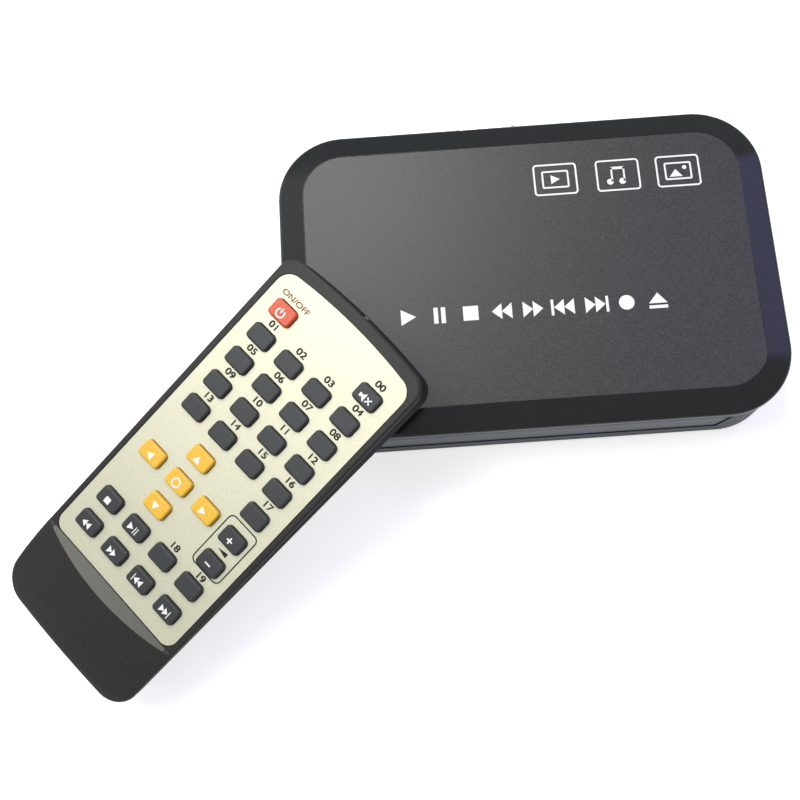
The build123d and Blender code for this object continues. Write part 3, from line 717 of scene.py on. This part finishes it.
number_keys = [(column, row) for row in (1, 2, 3, 4) for column in (1, 2, 3, 4)] + [(4, 5), (3, 8), (4, 8)]
bm = bmesh.new()
for number, spot in enumerate(number_keys, start=1):
    x, y = key_middle(*spot)
    rise = crowded_rise if spot == (4, 8) else label_rise
    words(bm, f"{number:02d}", x + label_shift, y + rise, label_height, label_stroke)
x, y = key_middle(4, 0)
words(bm, "00", x + label_shift, y + label_rise, label_height, label_stroke)
x, y = key_middle(4, volume_row)
outline(bm, x, y + frame_shift, frame_width, frame_depth, frame_radius, frame_line)
arrow(bm, x, y, wedge_length, wedge_height, 180)
inked(bm, plate_film, rim_level)
black_ink = moulded(
    "black_ink", dark=(0.012,) * 3, light=(0.02,) * 3,
    rough=(0.6, 0.7), grain=3000, depth=0.003 * mm, shine=0.2,
)
piece("plate_prints", bm, black_ink, "remote", place=remote_place)
bm = bmesh.new()
x, y = key_middle(1, 0)
words(bm, "ON/OFF", x + label_shift, y + label_rise, power_height, power_stroke)
inked(bm, plate_film, rim_level)
red_ink = moulded(
    "red_ink", dark=(0.2, 0.08, 0.045), light=(0.26, 0.11, 0.06),
    rough=(0.6, 0.7), grain=3000, depth=0.003 * mm, shine=0.2,
)
piece("power_print", bm, red_ink, "remote", place=remote_place)

# Keys: moulded caps with soft edges that pass through the plate and are held by a flange under the deck.
# Most are slate grey, the five of the cross are orange and the power key is red.
key_width = 6.5 * mm
key_round = 0.5 * mm
key_steps = 4
flange_width = 7.8 * mm
flange_length = 5.7 * mm
flange_radius = 1.5 * mm
flange_bottom = -4.3 * mm
flange_top = -3.5 * mm
slate = moulded(
    "slate", dark=(0.018, 0.02, 0.022), light=(0.026, 0.028, 0.031),
    rough=(0.38, 0.5), grain=2600, depth=0.01 * mm, shine=0.35,
)
orange = moulded(
    "orange", dark=(0.74, 0.42, 0.024), light=(0.82, 0.48, 0.034),
    rough=(0.36, 0.46), grain=2600, depth=0.01 * mm,
)
red = moulded(
    "red", dark=(0.58, 0.07, 0.02), light=(0.64, 0.082, 0.026),
    rough=(0.36, 0.46), grain=2600, depth=0.01 * mm,
)
cross_turns = {"key_up": 90, "key_left": 180, "key_right": 0, "key_down": 270}
key_grid = {f"key_{number:02d}": spot for number, spot in enumerate(number_keys, start=1)}
key_grid |= {
    "key_power": (1, 0), "key_mute": (4, 0),
    "key_up": (2, 5), "key_left": (1, 6), "key_enter": (2, 6), "key_right": (3, 6), "key_down": (2, 7),
    "key_volume_up": (4, 6), "key_volume_down": (4, 7), "key_stop": (1, 8), "key_play": (2, 8),
    "key_rewind": (1, 9), "key_forward": (2, 9), "key_previous": (3, 9), "key_next": (4, 9),
}
for name, spot in key_grid.items():
    x, y = key_middle(*spot)
    bm = bmesh.new()
    flange = rounded_plate(bm, flange_width, flange_length, flange_radius, flange_bottom, steps=6)
    end = raised(bm, flange, flange_top - flange_bottom, keep=True)
    drawn_in(bm, end, (flange_width - key_width) / 2)
    raised(bm, end, -flange_top)
    bmesh.ops.recalc_face_normals(bm, faces=bm.faces)
    rounded_edges(bm, level_edges(bm, 0), key_round, key_steps)
    bmesh.ops.translate(bm, vec=(x, y, 0), verts=bm.verts)
    finish, slot = slate, "key_slate"
    if name == "key_power":
        finish, slot = red, "key_red"
    elif name == "key_enter" or name in cross_turns:
        finish, slot = orange, "key_orange"
    piece(name + "_cap", bm, finish, name, name, remote_place)

# Symbols on the keys: plain white signs, pad-printed on the caps as such keys carry them.
# Each is drawn in parts of one size, and stands a little off the middle of its cap.
symbol_size = 2.5 * mm
symbol_line = 0.36 * mm
symbol_shift = (-0.2 * mm, -0.4 * mm)
key_film = 0.02 * mm
ring_radius = 0.42 * symbol_size
power_start = 125
power_sweep = 290
power_rise = 0.28 * symbol_size
power_length = 0.5 * symbol_size
speaker_place = -0.5 * symbol_size
speaker_size = (0.24 * symbol_size, 0.36 * symbol_size)
horn_place = -0.2 * symbol_size
horn_size = (0.5 * symbol_size, 0.9 * symbol_size)
mute_place = 0.48 * symbol_size
mute_size = (0.75 * symbol_size, 0.9 * symbol_line)
cross_size = (0.7 * symbol_size, 0.8 * symbol_size)
minus_length = 0.65 * symbol_size
plus_place = 0.2 * symbol_size
plus_length = 0.25 * symbol_size
stop_size = 0.62 * symbol_size
play_height = 0.75 * symbol_size
play_place = -0.3 * symbol_size
play_length = 0.6 * symbol_size
play_bars = (0.2 * symbol_size, 0.45 * symbol_size)
key_bar = 0.6 * symbol_line
key_skip_half = 0.25 * symbol_size
key_skip_stop = 0.6 * symbol_size


def arc_line(bm, radius, line, start, sweep):
    """A curved line of even width about the origin, from a start angle through a sweep."""
    inner = bm.verts.new((radius - line / 2, 0, 0))
    outer = bm.verts.new((radius + line / 2, 0, 0))
    edge = bm.edges.new((inner, outer))
    first = Matrix.Rotation(radians(start), 3, "Z")
    bmesh.ops.rotate(bm, cent=(0, 0, 0), matrix=first, verts=[inner, outer])
    bmesh.ops.spin(
        bm, geom=[edge, inner, outer], cent=(0, 0, 0), axis=(0, 0, 1), angle=radians(sweep),
        steps=32, use_merge=abs(sweep) >= 360,
    )


def key_symbol(bm, name):
    """Draws one key's sign about the origin."""
    side = -1 if name in ("key_rewind", "key_previous") else 1
    if name == "key_power":
        arc_line(bm, ring_radius, symbol_line, power_start, power_sweep)
        bar(bm, 0, power_rise, symbol_line, power_length)
    elif name == "key_mute":
        bar(bm, speaker_place, 0, *speaker_size)
        arrow(bm, horn_place, 0, *horn_size, 180)
        for turn in (45, 135):
            before = set(bm.verts)
            bar(bm, 0, 0, *mute_size)
            fresh = [vert for vert in bm.verts if vert not in before]
            bmesh.ops.rotate(bm, cent=(0, 0, 0), matrix=Matrix.Rotation(radians(turn), 3, "Z"), verts=fresh)
            bmesh.ops.translate(bm, vec=(mute_place, 0, 0), verts=fresh)
    elif name == "key_enter":
        arc_line(bm, ring_radius, symbol_line, 0, 360)
    elif name in cross_turns:
        arrow(bm, 0, 0, *cross_size, cross_turns[name])
    elif name in ("key_volume_up", "key_volume_down"):
        bar(bm, 0, 0, minus_length, symbol_line)
        if name == "key_volume_up":
            bar(bm, 0, plus_place, symbol_line, plus_length)
            bar(bm, 0, -plus_place, symbol_line, plus_length)
    elif name == "key_stop":
        bar(bm, 0, 0, stop_size, stop_size)
    elif name == "key_play":
        arrow(bm, play_place, 0, play_length, play_height)
        for x in play_bars:
            bar(bm, x, 0, key_bar, play_height)
    elif name in ("key_rewind", "key_forward", "key_previous", "key_next"):
        double_arrow(bm, 0, 0, key_skip_half, play_height, side)
        if name in ("key_previous", "key_next"):
            bar(bm, side * key_skip_stop, 0, key_bar, play_height)


for name, spot in key_grid.items():
    bm = bmesh.new()
    key_symbol(bm, name)
    if not bm.faces:
        bm.free()
        continue
    inked(bm, key_film, 0)
    x, y = key_middle(*spot)
    bmesh.ops.translate(bm, vec=(x + symbol_shift[0], y + symbol_shift[1], 0), verts=bm.verts)
    piece(name + "_sign", bm, white_ink, name, place=remote_place)

# What is inside the remote: a rubber mat of domes, its board, the emitter, two cells and their contacts.
# Only the emitter's round nose shows, in the head wall.
mat_grey = moulded(
    "mat_grey", dark=(0.06,) * 3, light=(0.09,) * 3,
    rough=(0.6, 0.75), grain=1500, depth=0.02 * mm,
)
cell_foil = moulded(
    "cell_foil", dark=(0.2, 0.2, 0.22), light=(0.3, 0.3, 0.32),
    rough=(0.25, 0.35), grain=600, depth=0.004 * mm, metal=1.0,
)
dressed("keypad_mat", mat_grey)
dressed("remote_board", board_green)
dressed("batteries", cell_foil)
dressed("battery_contacts", plated_steel)
twin_piece("emitter", "ir_emitter", lamp_clear, "remote")

# Floor: a plain sheet of pale paper, far larger than the object, which keeps its shadow.
# What is seen of it glows a little, so that it fades into the white surround.
floor_half = 1.5
floor_glow = 0.66


def shown_rays(nodes, links):
    """A mask that is one on what is seen directly, mirrored or through glass, and zero for other light."""
    path = nodes.new("ShaderNodeLightPath")
    mirrored = nodes.new("ShaderNodeMath")
    mirrored.operation = "MAXIMUM"
    shown = nodes.new("ShaderNodeMath")
    shown.operation = "MAXIMUM"
    links.new(path.outputs["Is Glossy Ray"], mirrored.inputs[0])
    links.new(path.outputs["Is Transmission Ray"], mirrored.inputs[1])
    links.new(path.outputs["Is Camera Ray"], shown.inputs[0])
    links.new(mirrored.outputs["Value"], shown.inputs[1])
    return shown.outputs["Value"]


scene = bpy.context.scene
bm = bmesh.new()
bmesh.ops.create_grid(bm, x_segments=1, y_segments=1, size=floor_half)
floor_mesh = bpy.data.meshes.new("floor")
bm.to_mesh(floor_mesh)
bm.free()
floor = bpy.data.objects.new("floor", floor_mesh)
scene.collection.objects.link(floor)
paper = bpy.data.materials.new("paper")
paper.use_nodes = True
nodes, links = paper.node_tree.nodes, paper.node_tree.links
shader = nodes["Principled BSDF"]
shader.inputs["Base Color"].default_value = (0.85, 0.85, 0.86, 1)
shader.inputs["Roughness"].default_value = 0.9
glow = nodes.new("ShaderNodeEmission")
glow.inputs["Color"].default_value = (1, 1, 1, 1)
glow.inputs["Strength"].default_value = floor_glow
dark = nodes.new("ShaderNodeEmission")
dark.inputs["Strength"].default_value = 0
pick = nodes.new("ShaderNodeMixShader")
both = nodes.new("ShaderNodeAddShader")
links.new(shown_rays(nodes, links), pick.inputs["Fac"])
links.new(dark.outputs["Emission"], pick.inputs[1])
links.new(glow.outputs["Emission"], pick.inputs[2])
links.new(shader.outputs["BSDF"], both.inputs[0])
links.new(pick.outputs["Shader"], both.inputs[1])
links.new(both.outputs["Shader"], nodes["Material Output"].inputs["Surface"])
floor_mesh.materials.append(paper)

# Surround: a white studio on all sides, which fills the shadows softly.
# Seen directly or mirrored it is plain white, and as light it is dimmer.
fill_light = 0.35
world = bpy.data.worlds.new("surround")
scene.world = world
world.use_nodes = True
nodes, links = world.node_tree.nodes, world.node_tree.links
fill = nodes["Background"]
fill.inputs["Color"].default_value = (1, 1, 1, 1)
fill.inputs["Strength"].default_value = fill_light
white = nodes.new("ShaderNodeBackground")
white.inputs["Color"].default_value = (1, 1, 1, 1)
white.inputs["Strength"].default_value = 1
pick = nodes.new("ShaderNodeMixShader")
links.new(shown_rays(nodes, links), pick.inputs["Fac"])
links.new(fill.outputs["Background"], pick.inputs[1])
links.new(white.outputs["Background"], pick.inputs[2])
links.new(pick.outputs["Shader"], nodes["World Output"].inputs["Surface"])

# Soft boxes: rectangular studio lamps, two main ones above the remote and behind the player.
# Two weak lilac ones tint the right rim, and two more light the left rim and the panel's left end.
player_middle = (-0.05, 0.02, 0.02)
right_rim = (0.06, -0.01, 0.02)


def soft_box(name, spot, aim, size, power, colour):
    """A rectangular lamp that faces a point."""
    lamp = bpy.data.lights.new(name, "AREA")
    lamp.shape = "RECTANGLE"
    lamp.size, lamp.size_y = size
    lamp.energy = power
    lamp.color = colour
    holder = bpy.data.objects.new(name, lamp)
    holder.location = spot
    holder.rotation_euler = (Vector(aim) - Vector(spot)).to_track_quat("-Z", "Y").to_euler()
    holder.visible_camera = False
    scene.collection.objects.link(holder)


soft_box(
    "key_box", spot=(-0.29, 0.02, 0.58), aim=(-0.08, -0.03, 0.02),
    size=(0.24, 0.24), power=1.45, colour=(1, 1, 0.98),
)
soft_box(
    "back_box", spot=(-0.1, 0.345, 0.6), aim=(-0.03, 0.02, 0.02),
    size=(0.2, 0.2), power=2.2, colour=(0.98, 1, 0.96),
)
soft_box(
    "side_box", spot=(0.42, 0.2, 0.4), aim=right_rim,
    size=(0.22, 0.2), power=0.36, colour=(0.42, 0.38, 1),
)
soft_box(
    "lilac_box", spot=(0.28, 0.2, 0.6), aim=right_rim,
    size=(0.14, 0.14), power=0.3, colour=(0.4, 0.3, 1),
)
soft_box(
    "rim_box", spot=(-0.6, 0.33, 0.28), aim=player_middle,
    size=(0.4, 0.14), power=0.9, colour=(1, 1, 1),
)
soft_box(
    "left_box", spot=(-0.4, 0.42, 0.6), aim=player_middle,
    size=(0.6, 0.2), power=0.45, colour=(1, 1, 0.97),
)

# Camera: it stands in front of the set and looks steeply down on it, rolled a little to one side.
# Its place and angles are those that the picture was taken with.
camera_spot = (-30.779 * mm, -116.609 * mm, 302.39 * mm)
camera_down = radians(73.258)
camera_turn = radians(-2.495)
camera_roll = radians(-6.337)
ahead = Vector((sin(camera_turn), cos(camera_turn), 0))
forward = cos(camera_down) * ahead - sin(camera_down) * Vector((0, 0, 1))
right = Vector((cos(camera_turn), -sin(camera_turn), 0))
up = right.cross(forward)
image_right = cos(camera_roll) * right + sin(camera_roll) * up
image_up = cos(camera_roll) * up - sin(camera_roll) * right
lens = bpy.data.cameras.new("camera")
lens.sensor_width = 36
lens.lens = 54.19
lens.clip_start = 0.01
camera = bpy.data.objects.new("camera", lens)
camera_axes = Matrix((image_right, image_up, -forward)).transposed().to_4x4()
camera.matrix_world = Matrix.Translation(camera_spot) @ camera_axes
scene.collection.objects.link(camera)
scene.camera = camera
scene.view_settings.view_transform = "Standard"
